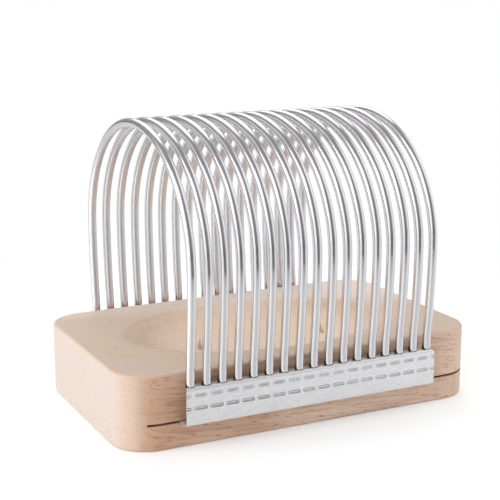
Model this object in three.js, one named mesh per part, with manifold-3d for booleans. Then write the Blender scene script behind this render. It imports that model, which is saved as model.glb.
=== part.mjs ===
// Toast slicer: a wooden block with a shallow oval dish, and a cage of arched steel wires that
// stands in two folded strips. The strips' flanges run in saw kerfs in the block's long sides,
// so the cage slides off to the right.
//
// Millimetres. The origin is the middle of the block's underside, +Z is up, +X runs along the
// block towards the open ends of the kerfs, and -Y is the front.

import * as THREE from 'three';
import Module from 'manifold-3d';
import { mergeVertices } from 'three/addons/utils/BufferGeometryUtils.js';

const wasm = await Module();
wasm.setup();

// Wooden block
const blockLength = 220;
const blockWidth = 133;
const blockHeight = 41.5;
const blockCornerRadius = 21;
const blockEdgeRound = 1.5;

// Oval dish routed in the block's top, with a flat middle and a wall that steepens to the rim
const dishLength = 168;
const dishWidth = 101;
const dishDepth = 10;
const dishShift = 2;
const dishWallPower = 4;
const dishCutterShare = 1.06;

// Saw kerfs in the long sides, closed at the left by the cutter's round and open at the right
const kerfLevel = 13.9;
const kerfDepth = 12;
const kerfSpare = 18.3;
const cutterRadius = 14;

// Loaf pins in the floor of the dish
const pinDiameter = 3;
const pinHeight = 5.5;
const pinShank = 8;
const pinSpacing = 80;
const pinClearance = 0.3;
const pinTaperShares = [[0, 1], [0.35, 0.82], [0.7, 0.54], [0.93, 0.28], [1, 0.12]];

// Arched wires
const hoopCount = 17;
const hoopPitch = 9.14;
const wireDiameter = 5;
const cageHeight = 165.9;
const archRise = 68.2;
const legStraight = 16;
const legBow = 3.2;
const bowShares = { low: [0.5, 0.24], high: [1, 0.62] };

// The cage at rest stands a little to the left of the block's middle
const cageShift = -1.9;

// Folded strips
const sheetThickness = 0.7;
const foldRadius = 1.4;
const stripHeight = 20.8;
const stripMargin = 3.5;
const stripGap = 1.6;
const stripCornerRadius = 2.5;
const flangeClearance = 0.35;
const flangeEndGap = 2.5;
const pocketDepth = 7.6;
const jogRise = 2;
const lapHeight = 4;
const endRelief = 2.4;
const wireClearance = 0.3;
const holeClearance = 0.45;

// Dimples and clinched slots pressed in a strip between the wires
const dimpleDrop = 4.5;
const dimpleLength = 5.4;
const dimpleHeight = 2.4;
const dimpleDepth = 0.9;
const clinchDrop = 1.6;
const clinchHeight = 1.7;
const clinchDepth = 0.5;
const clinchBridge = 1.8;

// How far a cutter runs past the face that it enters
const overrun = 3;

// Facets
const wireSides = 8;
const hoopSteps = 22;
const holeSides = 10;
const dishRings = 8;
const dishSectors = 36;
const bevelRings = 2;
const dimpleSides = 8;
const dimpleRings = 4;
const plainCurve = 4;
const smallCurve = 2;

// Sizes that follow from these
const wireRadius = wireDiameter / 2;
const pocketWidth = wireDiameter + 2 * wireClearance;
const sideFace = blockWidth / 2;
const leafIn = stripGap;
const leafOut = stripGap + 2 * sheetThickness + pocketWidth;
const wireOffset = (leafIn + leafOut) / 2;
const stripLength = (hoopCount - 1) * hoopPitch + 2 * stripMargin;
const flangeReach = kerfDepth - flangeEndGap;
const kerfHeight = sheetThickness + 2 * flangeClearance;
const stripBottom = kerfLevel + flangeClearance;
const stripTop = stripBottom + stripHeight;
const jogTop = stripTop - pocketDepth;
const jogBottom = jogTop - jogRise;
const lapBottom = jogBottom - lapHeight;
const springLine = cageHeight - wireRadius - archRise;
const footY = sideFace + wireOffset;
const archY = footY + legBow;

const wood = { color: 0xd9bda3, roughness: 0.62, metalness: 0 };
const polishedWire = { color: 0xd8d8da, roughness: 0.14, metalness: 1 };
const satinSheet = { color: 0xd2d2d5, roughness: 0.34, metalness: 1 };

const slicer = new THREE.Group();
const cage = new THREE.Group();
cage.position.x = cageShift;
slicer.add(cage);

// Joining and cutting of closed solids
function solid(geometry) {
  const bare = geometry.clone();
  bare.deleteAttribute('normal');
  bare.deleteAttribute('uv');
  const merged = mergeVertices(bare);
  return new wasm.Manifold(new wasm.Mesh({
    numProp: 3,
    vertProperties: Float32Array.from(merged.attributes.position.array),
    triVerts: Uint32Array.from(merged.index.array),
  }));
}

function geometryOf(body) {
  const mesh = body.getMesh();
  const geometry = new THREE.BufferGeometry();
  geometry.setAttribute('position', new THREE.BufferAttribute(mesh.vertProperties, 3));
  geometry.setIndex(new THREE.BufferAttribute(mesh.triVerts, 1));
  geometry.computeVertexNormals();
  return geometry;
}

function addPiece(holder, name, geometry, finish) {
  const mesh = new THREE.Mesh(geometry, new THREE.MeshStandardMaterial(finish));
  mesh.name = name;
  holder.add(mesh);
  return mesh;
}

// The space of a drill that stands along Z, from one level to another
function drill(radius, bottom, top) {
  const bar = new THREE.CylinderGeometry(radius, radius, top - bottom, holeSides);
  return bar.rotateX(Math.PI / 2).translate(0, 0, (bottom + top) / 2);
}

// The block is sawn from one board: rounded corners in plan, and all its edges eased
function blockBlank() {
  const x = blockLength / 2 - blockCornerRadius;
  const y = blockWidth / 2 - blockCornerRadius;
  const plan = new THREE.Shape();
  plan.absarc(x, y, blockCornerRadius, 0, Math.PI / 2);
  plan.absarc(-x, y, blockCornerRadius, Math.PI / 2, Math.PI);
  plan.absarc(-x, -y, blockCornerRadius, Math.PI, Math.PI * 1.5);
  plan.absarc(x, -y, blockCornerRadius, Math.PI * 1.5, Math.PI * 2);
  plan.closePath();
  const blank = new THREE.ExtrudeGeometry(plan, {
    depth: blockHeight - 2 * blockEdgeRound,
    bevelThickness: blockEdgeRound,
    bevelSize: blockEdgeRound,
    bevelOffset: -blockEdgeRound,
    bevelSegments: bevelRings,
    curveSegments: plainCurve,
  });
  return solid(blank.translate(0, 0, blockEdgeRound));
}

// Depth of the dish at a share of the way from its middle to its rim
function dishDepthAt(rimShare) {
  return dishDepth * (1 - rimShare ** dishWallPower);
}

// The dish's shape is a turned bowl, stretched to an oval
function dishCutter() {
  const profile = [];
  for (let ring = 0; ring <= dishRings; ring += 1) {
    const rimShare = dishCutterShare * Math.sin((Math.PI / 2) * (ring / dishRings));
    profile.push(new THREE.Vector2(rimShare, -dishDepthAt(rimShare)));
  }
  profile.push(new THREE.Vector2(0, -dishDepthAt(dishCutterShare)));
  const bowl = new THREE.LatheGeometry(profile, dishSectors).rotateX(Math.PI / 2);
  bowl.scale(dishLength / 2, dishWidth / 2, 1);
  return solid(bowl.translate(dishShift, 0, blockHeight));
}

// A kerf in plan, with X along the block and Y inwards from its side. A slotting cutter makes it,
// so its closed end is an arc that leaves the wood at kerfSpare from the strip's end.
function kerfCutter(front) {
  const outside = kerfDepth - cutterRadius;
  const closedEnd = cageShift - stripLength / 2 - kerfSpare;
  const cutterX = closedEnd + Math.sqrt(cutterRadius ** 2 - outside ** 2);
  const openEnd = blockLength / 2 + overrun;
  const plan = new THREE.Shape();
  plan.moveTo(openEnd, outside);
  plan.lineTo(openEnd, kerfDepth);
  plan.absarc(cutterX, outside, cutterRadius, Math.PI / 2, Math.PI);
  plan.closePath();
  const cut = new THREE.ExtrudeGeometry(plan, {
    depth: kerfHeight, bevelEnabled: false, curveSegments: plainCurve,
  });
  if (front) return solid(cut.translate(0, -sideFace, kerfLevel));
  return solid(cut.rotateX(Math.PI).translate(0, sideFace, kerfLevel + kerfHeight));
}

// Where the pins stand: the same way out from the dish's middle, on its floor
const pinPlaces = [-1, 1].map((side) => new THREE.Vector3(
  dishShift + (side * pinSpacing) / 2, 0, blockHeight - dishDepthAt(pinSpacing / dishLength),
));

// A pin's hole is drilled a little wider and deeper than its shank
function pinHole(place) {
  const bottom = place.z - pinShank - pinClearance;
  const hole = drill(pinDiameter / 2 + pinClearance, bottom, place.z + overrun);
  return solid(hole.translate(place.x, place.y, 0));
}

function woodBase() {
  let block = blockBlank().subtract(dishCutter());
  for (const front of [true, false]) block = block.subtract(kerfCutter(front));
  for (const place of pinPlaces) block = block.subtract(pinHole(place));
  return geometryOf(block);
}

addPiece(slicer, 'wood_base', woodBase(), wood);

// A pin is a short nail whose shank sits in the wood and whose point swells a little, like a bullet
function loafPin() {
  const profile = [new THREE.Vector2(0, -pinShank), new THREE.Vector2(pinDiameter / 2, -pinShank)];
  for (const [heightShare, radiusShare] of pinTaperShares) {
    profile.push(new THREE.Vector2((radiusShare * pinDiameter) / 2, heightShare * pinHeight));
  }
  profile.push(new THREE.Vector2(0, pinHeight));
  return new THREE.LatheGeometry(profile, holeSides).rotateX(Math.PI / 2);
}

['loaf_pin_left', 'loaf_pin_right'].forEach((name, side) => {
  addPiece(slicer, name, loafPin(), polishedWire).position.copy(pinPlaces[side]);
});

// A strip's section, with X outwards from the block's side and Y up. The sheet starts as a flange in
// the kerf, turns up as the front leaf, folds over the wire ends, and comes down behind them.
// Below the wires it jogs forward and lies against the front leaf, where it is clinched.
function stripSection() {
  const outerBend = leafOut - foldRadius;
  const innerBend = leafIn + foldRadius;
  const inside = foldRadius - sheetThickness;
  const right = Math.PI / 2;
  const section = new THREE.Shape();
  section.moveTo(-flangeReach, stripBottom);
  section.lineTo(outerBend, stripBottom);
  section.absarc(outerBend, stripBottom + foldRadius, foldRadius, -right, 0);
  section.absarc(outerBend, stripTop - foldRadius, foldRadius, 0, right);
  section.absarc(innerBend, stripTop - foldRadius, foldRadius, right, 2 * right);
  section.lineTo(leafIn, jogTop - sheetThickness);
  section.lineTo(leafOut - 2 * sheetThickness, jogBottom - sheetThickness);
  section.lineTo(leafOut - 2 * sheetThickness, lapBottom);
  section.lineTo(leafOut - sheetThickness, lapBottom);
  section.absarc(outerBend, stripBottom + foldRadius, inside, 0, -right, true);
  section.lineTo(-flangeReach, stripBottom + sheetThickness);
  section.closePath();
  const pocket = new THREE.Path();
  pocket.moveTo(leafOut - sheetThickness, jogBottom);
  pocket.lineTo(leafOut - sheetThickness, stripTop - foldRadius);
  pocket.absarc(outerBend, stripTop - foldRadius, inside, 0, right);
  pocket.absarc(innerBend, stripTop - foldRadius, inside, right, 2 * right);
  pocket.lineTo(leafIn + sheetThickness, jogTop);
  pocket.closePath();
  section.holes.push(pocket);
  return section;
}

// Places of the wires along a strip, and of the gaps between them with one more past each end
const hoopPlaces = Array.from({ length: hoopCount },
  (_, hoop) => (hoop - (hoopCount - 1) / 2) * hoopPitch);
const gapPlaces = hoopPlaces.slice(1).map((place) => place - hoopPitch / 2);
const clinchPlaces = [gapPlaces[0] - hoopPitch, ...gapPlaces, gapPlaces.at(-1) + hoopPitch];

// The strip as it is seen from the front, a rectangle with its upper corners rounded
function stripOutline() {
  const end = stripLength / 2;
  const outline = new THREE.Shape();
  outline.moveTo(-end, stripBottom - overrun);
  outline.lineTo(end, stripBottom - overrun);
  outline.absarc(end - stripCornerRadius, stripTop - stripCornerRadius, stripCornerRadius,
    0, Math.PI / 2);
  outline.absarc(stripCornerRadius - end, stripTop - stripCornerRadius, stripCornerRadius,
    Math.PI / 2, Math.PI);
  outline.closePath();
  return outline;
}

// A stadium-shaped punch for a clinched slot
function clinchOutline() {
  const round = clinchHeight / 2;
  const straight = (hoopPitch - clinchBridge) / 2 - round;
  const outline = new THREE.Shape();
  outline.absarc(straight, 0, round, -Math.PI / 2, Math.PI / 2);
  outline.absarc(-straight, 0, round, Math.PI / 2, Math.PI * 1.5);
  outline.closePath();
  return outline;
}

// Stands an extruded shape on its lower edge in front of the block: it starts at the given distance
// outside the block's side, and its depth runs further outwards
function standOut(geometry, outwards) {
  return geometry.rotateX(Math.PI / 2).translate(0, -sideFace - outwards, 0);
}

// A dimple is a flat oval cap
function dimple(place, outwards) {
  const cap = new THREE.SphereGeometry(1, dimpleSides, dimpleRings);
  cap.scale(dimpleLength / 2, dimpleDepth, dimpleHeight / 2);
  return solid(cap.translate(place, -sideFace - outwards, stripTop - dimpleDrop));
}

function frontStrip() {
  const folded = new THREE.ExtrudeGeometry(stripSection(), {
    depth: stripLength + 2 * overrun, bevelEnabled: false, curveSegments: smallCurve,
  });
  folded.translate(0, 0, -stripLength / 2 - overrun);
  folded.applyMatrix4(new THREE.Matrix4().makeBasis(
    new THREE.Vector3(0, -1, 0), new THREE.Vector3(0, 0, 1), new THREE.Vector3(-1, 0, 0),
  ));
  folded.translate(0, -sideFace, 0);
  const face = new THREE.ExtrudeGeometry(stripOutline(), {
    depth: flangeReach + leafOut + 2 * overrun, bevelEnabled: false, curveSegments: smallCurve,
  });
  let strip = solid(folded).intersect(solid(standOut(face, -flangeReach - overrun)));

  // At both ends the back leaf and the fold stop short, so that only the front leaf shows
  const relief = {
    length: endRelief + overrun,
    width: leafOut - foldRadius - leafIn + overrun,
    height: stripTop - lapBottom + 2 * overrun,
  };
  for (const side of [-1, 1]) {
    const notch = new THREE.BoxGeometry(relief.length, relief.width, relief.height);
    notch.translate(
      side * (stripLength / 2 - endRelief + relief.length / 2),
      -sideFace - leafOut + foldRadius + relief.width / 2,
      stripTop + overrun - relief.height / 2,
    );
    strip = strip.subtract(solid(notch));
  }

  // Holes in the fold for the wires
  for (const place of hoopPlaces) {
    const hole = drill(wireRadius + holeClearance, stripTop - foldRadius, stripTop + overrun);
    strip = strip.subtract(solid(hole.translate(place, -footY, 0)));
  }

  // Dimples grip the wires from between: a bump inside the front leaf and a hollow outside
  for (const place of gapPlaces) {
    strip = strip.add(dimple(place, leafOut - sheetThickness));
    strip = strip.subtract(dimple(place, leafOut));
  }

  // Clinched slots lock the two leaves together below the wire ends
  for (const place of clinchPlaces) {
    const punch = new THREE.ExtrudeGeometry(clinchOutline(), {
      depth: clinchDepth + overrun, bevelEnabled: false, curveSegments: smallCurve,
    });
    standOut(punch, leafOut - clinchDepth);
    punch.translate(place, 0, jogBottom - clinchDrop);
    strip = strip.subtract(solid(punch));
  }
  return geometryOf(strip);
}

// The rear strip is the front one turned half round
const stripShape = frontStrip();
addPiece(cage, 'front_strip', stripShape, satinSheet);
addPiece(cage, 'rear_strip', stripShape, satinSheet).rotation.z = Math.PI;

// Half an ellipse in the YZ plane, from the front shoulder over the top to the rear one
class Arch extends THREE.Curve {
  getPoint(share, target = new THREE.Vector3()) {
    const angle = Math.PI * share;
    return target.set(0, -archY * Math.cos(angle), springLine + archRise * Math.sin(angle));
  }
}

// A leg from its end in the strip to the shoulder: straight at first, then bowed outwards
function legCurves(side) {
  const foot = jogTop + wireClearance;
  const bend = foot + legStraight;
  const at = (bowShare, riseShare) => new THREE.Vector3(
    0, side * (footY + bowShare * legBow), bend + riseShare * (springLine - bend),
  );
  return [
    new THREE.LineCurve3(new THREE.Vector3(0, side * footY, foot), at(0, 0)),
    new THREE.CubicBezierCurve3(at(0, 0), at(...bowShares.low), at(...bowShares.high), at(1, 1)),
  ];
}

function reversed(curve) {
  if (curve.isLineCurve3) return new THREE.LineCurve3(curve.v2, curve.v1);
  return new THREE.CubicBezierCurve3(curve.v3, curve.v2, curve.v1, curve.v0);
}

function hoop() {
  const path = new THREE.CurvePath();
  for (const curve of legCurves(-1)) path.add(curve);
  path.add(new Arch());
  for (const curve of legCurves(1).reverse()) path.add(reversed(curve));
  const section = new THREE.Shape();
  for (let side = 0; side < wireSides; side += 1) {
    const angle = (2 * Math.PI * side) / wireSides;
    const corner = [wireRadius * Math.cos(angle), wireRadius * Math.sin(angle)];
    if (side === 0) section.moveTo(...corner);
    else section.lineTo(...corner);
  }
  section.closePath();
  return new THREE.ExtrudeGeometry(section, { steps: hoopSteps, extrudePath: path });
}

const hoopShape = hoop();
hoopPlaces.forEach((place, index) => {
  const name = `hoop_${String(index + 1).padStart(2, '0')}`;
  addPiece(cage, name, hoopShape, polishedWire).position.x = place;
});

export default slicer;
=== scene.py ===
# Toast slicer: a block of pale hardwood with an oval dish, and a cage of polished wires that stands
# in two folded strips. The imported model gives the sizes, and this script gives the surfaces.
import math
import random

import bmesh
import bpy
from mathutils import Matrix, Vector


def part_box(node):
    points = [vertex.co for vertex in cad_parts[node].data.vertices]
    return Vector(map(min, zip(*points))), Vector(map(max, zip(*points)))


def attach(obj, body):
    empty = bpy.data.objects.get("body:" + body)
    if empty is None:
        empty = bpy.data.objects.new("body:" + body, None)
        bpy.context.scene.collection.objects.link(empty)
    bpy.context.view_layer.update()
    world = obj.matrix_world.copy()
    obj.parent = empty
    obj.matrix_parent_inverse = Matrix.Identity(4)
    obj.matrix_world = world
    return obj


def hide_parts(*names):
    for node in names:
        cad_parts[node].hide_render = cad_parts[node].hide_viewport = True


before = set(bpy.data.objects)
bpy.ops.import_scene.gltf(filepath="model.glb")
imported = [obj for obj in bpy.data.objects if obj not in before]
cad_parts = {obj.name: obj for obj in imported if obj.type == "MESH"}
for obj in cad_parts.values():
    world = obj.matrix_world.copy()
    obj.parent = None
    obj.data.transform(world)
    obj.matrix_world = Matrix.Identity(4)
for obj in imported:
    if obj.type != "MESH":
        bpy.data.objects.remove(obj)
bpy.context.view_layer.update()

mm = 0.001

# Wooden block.
# One board of rubberwood with the grain along X, cut to length, routed to an oval dish on top, and
# sawn with a kerf in each long side. Its edges are rounded over, and it is sanded and oiled.
block_low, block_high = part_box("wood_base")
block_corner_radius = 21 * mm
block_edge_round = 1.5 * mm
dish_half_length = 84 * mm
dish_half_width = 50.5 * mm
dish_depth = 10 * mm
dish_shift = 2 * mm
dish_wall_power = 4
dish_rim_ease = 0.5 * mm
dish_lift = dish_rim_ease / 6
dish_outer_share = 1.09
dish_inner_share = 0.06
dish_rings = 40
dish_sides = 120
kerf_low = 13.9 * mm
kerf_high = 15.3 * mm
kerf_depth = 12 * mm
kerf_left_end = -96.8 * mm
kerf_cutter_radius = 14 * mm
kerf_cutter_sides = 128
corner_segments = 24
edge_segments = 6
# What lies closer together than this counts as in one place
near = 0.01 * mm


def take(piece):
    """Makes a piece the only one that is selected."""
    bpy.ops.object.select_all(action="DESELECT")
    piece.select_set(True)
    bpy.context.view_layer.objects.active = piece


def start_edit(piece):
    take(piece)
    bpy.ops.object.mode_set(mode="EDIT")


def end_edit():
    bpy.ops.object.mode_set(mode="OBJECT")
    bpy.ops.object.select_all(action="DESELECT")


def pick(kind, test):
    """In edit mode, selects only the verts, edges or faces for which test(item, its corners) is true."""
    mode = {"verts": "VERT", "edges": "EDGE", "faces": "FACE"}[kind]
    bpy.ops.mesh.select_mode(type=mode)
    bpy.ops.mesh.select_all(action="DESELECT")
    mesh = bmesh.from_edit_mesh(bpy.context.edit_object.data)
    for item in getattr(mesh, kind):
        corners = [item.co] if kind == "verts" else [corner.co for corner in item.verts]
        if test(item, corners):
            item.select_set(True)
    mesh.select_flush_mode()
    bmesh.update_edit_mesh(bpy.context.edit_object.data)


def apply_modifier(piece, kind, **settings):
    take(piece)
    modifier = piece.modifiers.new(kind.lower(), kind)
    for name, value in settings.items():
        setattr(modifier, name, value)
    bpy.ops.object.modifier_apply(modifier=modifier.name)


def cut(piece, cutter, operation="DIFFERENCE"):
    apply_modifier(piece, "BOOLEAN", operation=operation, object=cutter, solver="MANIFOLD")
    bpy.data.objects.remove(cutter)


def smooth(piece, degrees):
    take(piece)
    bpy.ops.object.shade_smooth_by_angle(angle=math.radians(degrees))


block_size = block_high - block_low
bpy.ops.object.select_all(action="DESELECT")
bpy.ops.mesh.primitive_cube_add(size=1)
block = bpy.context.object
block.name = "block"
start_edit(block)
bpy.ops.mesh.select_all(action="SELECT")
bpy.ops.transform.resize(value=block_size)
bpy.ops.transform.translate(value=(block_low + block_high) / 2)
pick("edges", lambda edge, ends: abs(ends[0].z - ends[1].z) > block_size.z / 2)
bpy.ops.mesh.bevel(offset=block_corner_radius, segments=corner_segments, affect="EDGES")
pick("edges", lambda edge, ends: abs(ends[0].z - ends[1].z) < near)
bpy.ops.mesh.bevel(offset=block_edge_round, segments=edge_segments, affect="EDGES")
end_edit()


def dish_depth_at(share):
    """Depth at a share of the way from the middle to the rim. The wall runs out softly there, and a
    little lift brings its end up through the block's top."""
    depth = dish_depth * (1 - share**dish_wall_power)
    eased = (depth + math.sqrt(depth**2 + 4 * dish_rim_ease**2)) / 2
    return eased - dish_lift


# The dish is routed out with a bowl that is built ring by ring, from its floor to above the block
top = block_high.z
rim_share = dish_inner_share
bpy.ops.mesh.primitive_circle_add(vertices=dish_sides, radius=1, fill_type="NGON")
bowl = bpy.context.object
start_edit(bowl)
bpy.ops.transform.resize(value=(rim_share * dish_half_length, rim_share * dish_half_width, 1))
bpy.ops.transform.translate(value=(dish_shift, 0, top - dish_depth_at(rim_share)))
for ring in range(1, dish_rings + 1):
    turn = math.pi / 2 * ring / dish_rings
    next_share = dish_inner_share + (dish_outer_share - dish_inner_share) * math.sin(turn)
    bpy.ops.mesh.extrude_region()
    rise = dish_depth_at(rim_share) - dish_depth_at(next_share)
    bpy.ops.transform.translate(value=(0, 0, rise))
    scale = next_share / rim_share
    bpy.ops.transform.resize(value=(scale, scale, 1), center_override=(dish_shift, 0, top))
    rim_share = next_share
bpy.ops.mesh.select_all(action="SELECT")
bpy.ops.mesh.normals_make_consistent(inside=False)
end_edit()
cut(block, bowl)

# A kerf's cutter is a disc whose right half is drawn out past the block's end
disc_outside = kerf_cutter_radius - kerf_depth
disc_x = kerf_left_end + math.sqrt(kerf_cutter_radius**2 - disc_outside**2)
disc_y = block_high.y + disc_outside
for side in (-1, 1):
    bpy.ops.mesh.primitive_cylinder_add(
        vertices=kerf_cutter_sides, radius=kerf_cutter_radius, depth=kerf_high - kerf_low,
        location=(disc_x, side * disc_y, (kerf_low + kerf_high) / 2),
    )
    disc = bpy.context.object
    bpy.ops.object.transform_apply(location=True)
    start_edit(disc)
    pick("verts", lambda vert, place: place[0].x > disc_x + near)
    bpy.ops.transform.translate(value=(block_size.x, 0, 0))
    end_edit()
    cut(block, disc)
smooth(block, degrees=35)
apply_modifier(block, "WEIGHTED_NORMAL", keep_sharp=True, weight=100)


def paint(code):
    """A colour given as an sRGB hex value, turned to linear RGBA."""
    parts = [int(code[at:at + 2], 16) / 255 for at in (1, 3, 5)]
    linear = [part / 12.92 if part <= 0.04045 else ((part + 0.055) / 1.055) ** 2.4 for part in parts]
    return (*linear, 1)


def add_node(owner, kind, settings=None, **inputs):
    """Adds one node to a material or a world. settings are its own properties, and inputs fill its
    sockets, by name or as _0, _1 and so on, with a value or with the node or socket that feeds them."""
    tree = owner.node_tree
    node = tree.nodes.new(kind)
    for name, value in (settings or {}).items():
        setattr(node, name, value)
    sockets = [socket for socket in node.inputs if socket.enabled]
    for name, value in inputs.items():
        if name[1:].isdigit():
            socket = sockets[int(name[1:])]
        else:
            socket = next(socket for socket in sockets if socket.name == name.replace("_", " "))
        if isinstance(value, bpy.types.Node):
            value = next(output for output in value.outputs if output.enabled)
        if isinstance(value, bpy.types.NodeSocket):
            tree.links.new(value, socket)
        else:
            socket.default_value = value
    return node


def new_material(name):
    material = bpy.data.materials.new(name)
    material.use_nodes = True
    material.node_tree.nodes.clear()
    return material


def dress(piece, material, slot, body, *nodes):
    """Gives a finished piece its one material, hides the imported parts it stands in for, and hangs it on
    the body it moves with.
    """
    piece.data.materials.clear()
    piece.data.materials.append(material)
    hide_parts(*nodes)
    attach(piece, body)


# Settings that many nodes share: a range that eases in and out, and a mixture of two colours
eased_range = {"interpolation_type": "SMOOTHSTEP"}
colour_mix = {"data_type": "RGBA"}

# Rubberwood, planed, sanded and rubbed with a little oil: pale, matt, with faint growth rings, long
# dark streaks, and open pores that show as short dashes along the grain and as specks on the ends.
# All of its pattern is solid, in millimetres, so that it runs on from face to face.
wood = new_material("sanded_rubberwood")
wood_spot = add_node(wood, "ShaderNodeTexCoord")
grain = add_node(
    wood, "ShaderNodeMapping", Vector=wood_spot.outputs["Object"], Scale=(1 / mm, 1 / mm, 1 / mm),
)
grain_xyz = add_node(wood, "ShaderNodeSeparateXYZ", Vector=grain)
facing = add_node(wood, "ShaderNodeSeparateXYZ", Vector=wood_spot.outputs["Normal"])

# Masks for the ends, the sides, the dish, the edges and the corners. Each eases in between two shares
# of the surface's normal along one axis, or between two heights in millimetres.
end_facing = add_node(wood, "ShaderNodeMath", {"operation": "ABSOLUTE"}, _0=facing.outputs["X"])
side_facing = add_node(wood, "ShaderNodeMath", {"operation": "ABSOLUTE"}, _0=facing.outputs["Y"])
on_end = add_node(wood, "ShaderNodeMapRange", eased_range, Value=end_facing, From_Min=0.35, From_Max=0.95)
on_side = add_node(wood, "ShaderNodeMapRange", eased_range, Value=side_facing, From_Min=0.5, From_Max=1.0)
face_up = add_node(
    wood, "ShaderNodeMapRange", eased_range, Value=facing.outputs["Z"], From_Min=0.62, From_Max=0.8,
)
rim_level = block_high.z / mm - 0.3
dish_blend = 2.7
# In the dish the top is warmer and lighter: the warmth is the routed wood's own, the lightness is painted
# light against the cage's shade
in_dish = add_node(
    wood, "ShaderNodeMapRange", eased_range,
    Value=grain_xyz.outputs["Z"], From_Min=rim_level, From_Max=rim_level - dish_blend,
)
in_dish = add_node(wood, "ShaderNodeMath", {"operation": "MULTIPLY"}, _0=in_dish, _1=face_up)
# The normal's share halfway round an eased edge, upwards, and round a corner, endwards
edge_facing = 0.5
corner_facing = 0.76
edge_turn = add_node(
    wood, "ShaderNodeMath", {"operation": "SUBTRACT"}, _0=facing.outputs["Z"], _1=edge_facing,
)
edge_turn = add_node(wood, "ShaderNodeMath", {"operation": "ABSOLUTE"}, _0=edge_turn)
on_edge = add_node(
    wood, "ShaderNodeMapRange", eased_range, Value=edge_turn, From_Min=0.42, From_Max=0.1, To_Max=0.2,
)
corner_turn = add_node(wood, "ShaderNodeMath", {"operation": "SUBTRACT"}, _0=end_facing, _1=corner_facing)
corner_turn = add_node(wood, "ShaderNodeMath", {"operation": "ABSOLUTE"}, _0=corner_turn)
on_corner = add_node(
    wood, "ShaderNodeMapRange", eased_range, Value=corner_turn, From_Min=0.24, From_Max=0.04, To_Max=0.45,
)

# The kerf's inside, which is painted darker as painted shade in the slot: level with its slot, in past its
# mouth, out from its floor, right of its closed end. Each limit keeps a small margin from the kerf's own
# faces.
kerf_middle = (kerf_low + kerf_high) / 2 / mm
kerf_half_height = (kerf_high - kerf_low) / 2 / mm + 0.02
kerf_mouth = block_high.y / mm - 0.1
kerf_dark_depth = 1.4
kerf_floor = (block_high.y - kerf_depth) / mm - 0.1
kerf_closed_end = kerf_left_end / mm - 0.1
from_kerf = add_node(
    wood, "ShaderNodeMath", {"operation": "SUBTRACT"}, _0=grain_xyz.outputs["Z"], _1=kerf_middle,
)
from_kerf = add_node(wood, "ShaderNodeMath", {"operation": "ABSOLUTE"}, _0=from_kerf)
kerf_shade = add_node(wood, "ShaderNodeMath", {"operation": "LESS_THAN"}, _0=from_kerf, _1=kerf_half_height)
out_from_middle = add_node(wood, "ShaderNodeMath", {"operation": "ABSOLUTE"}, _0=grain_xyz.outputs["Y"])
past_mouth = add_node(
    wood, "ShaderNodeMapRange", eased_range,
    Value=out_from_middle, From_Min=kerf_mouth, From_Max=kerf_mouth - kerf_dark_depth,
)
off_floor = add_node(
    wood, "ShaderNodeMath", {"operation": "GREATER_THAN"}, _0=out_from_middle, _1=kerf_floor,
)
off_closed_end = add_node(
    wood, "ShaderNodeMath", {"operation": "GREATER_THAN"}, _0=grain_xyz.outputs["X"], _1=kerf_closed_end,
)
for mask in (past_mouth, off_floor, off_closed_end):
    kerf_shade = add_node(wood, "ShaderNodeMath", {"operation": "MULTIPLY"}, _0=kerf_shade, _1=mask)

# The grain runs downhill to the right, most of all near the board's ends
slope_in_middle = 0.05
slope_growth = 0.000003
along_squared = add_node(
    wood, "ShaderNodeMath", {"operation": "MULTIPLY"}, _0=grain_xyz.outputs["X"], _1=grain_xyz.outputs["X"],
)
grain_slope = add_node(
    wood, "ShaderNodeMath", {"operation": "MULTIPLY_ADD"},
    _0=along_squared, _1=slope_growth, _2=slope_in_middle,
)
grain_drop = add_node(
    wood, "ShaderNodeMath", {"operation": "MULTIPLY"}, _0=grain_slope, _1=grain_xyz.outputs["X"],
)
grain = add_node(
    wood, "ShaderNodeVectorMath", {"operation": "ADD"},
    _0=grain, _1=add_node(wood, "ShaderNodeCombineXYZ", Z=grain_drop),
)

# The wood's noises: size in millimetres along X, Y and Z, detail, roughness, and how far it is shifted.
# Fibres and the speckle of the cut ends are drawn at half a millimetre or more, to show at all.
noise_kinds = {
    "ring_wave": ((75, 20, 20), 2.0, 0.45, (0, 0, 0)),
    "streaks": ((16, 1, 1), 3.0, 0.55, (0, 0, 0)),
    "broad_streaks": ((18, 2.2, 2.2), 2.0, 0.5, (3, 1, 5)),
    "fibres": ((11, 0.5, 0.5), 3.0, 0.6, (0, 0, 0)),
    "blotches": ((55, 20, 14), 2.0, 0.5, (0, 0, 0)),
    "speckle": ((3, 0.9, 0.9), 2.0, 0.7, (0, 0, 0)),
}
noises = {}
for kind, (sizes, detail, roughness, shift) in noise_kinds.items():
    stretched = add_node(
        wood, "ShaderNodeMapping", Vector=grain, Location=shift, Scale=[1 / size for size in sizes],
    )
    noises[kind] = add_node(
        wood, "ShaderNodeTexNoise", Vector=stretched, Scale=1.0, Detail=detail, Roughness=roughness,
    )

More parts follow.
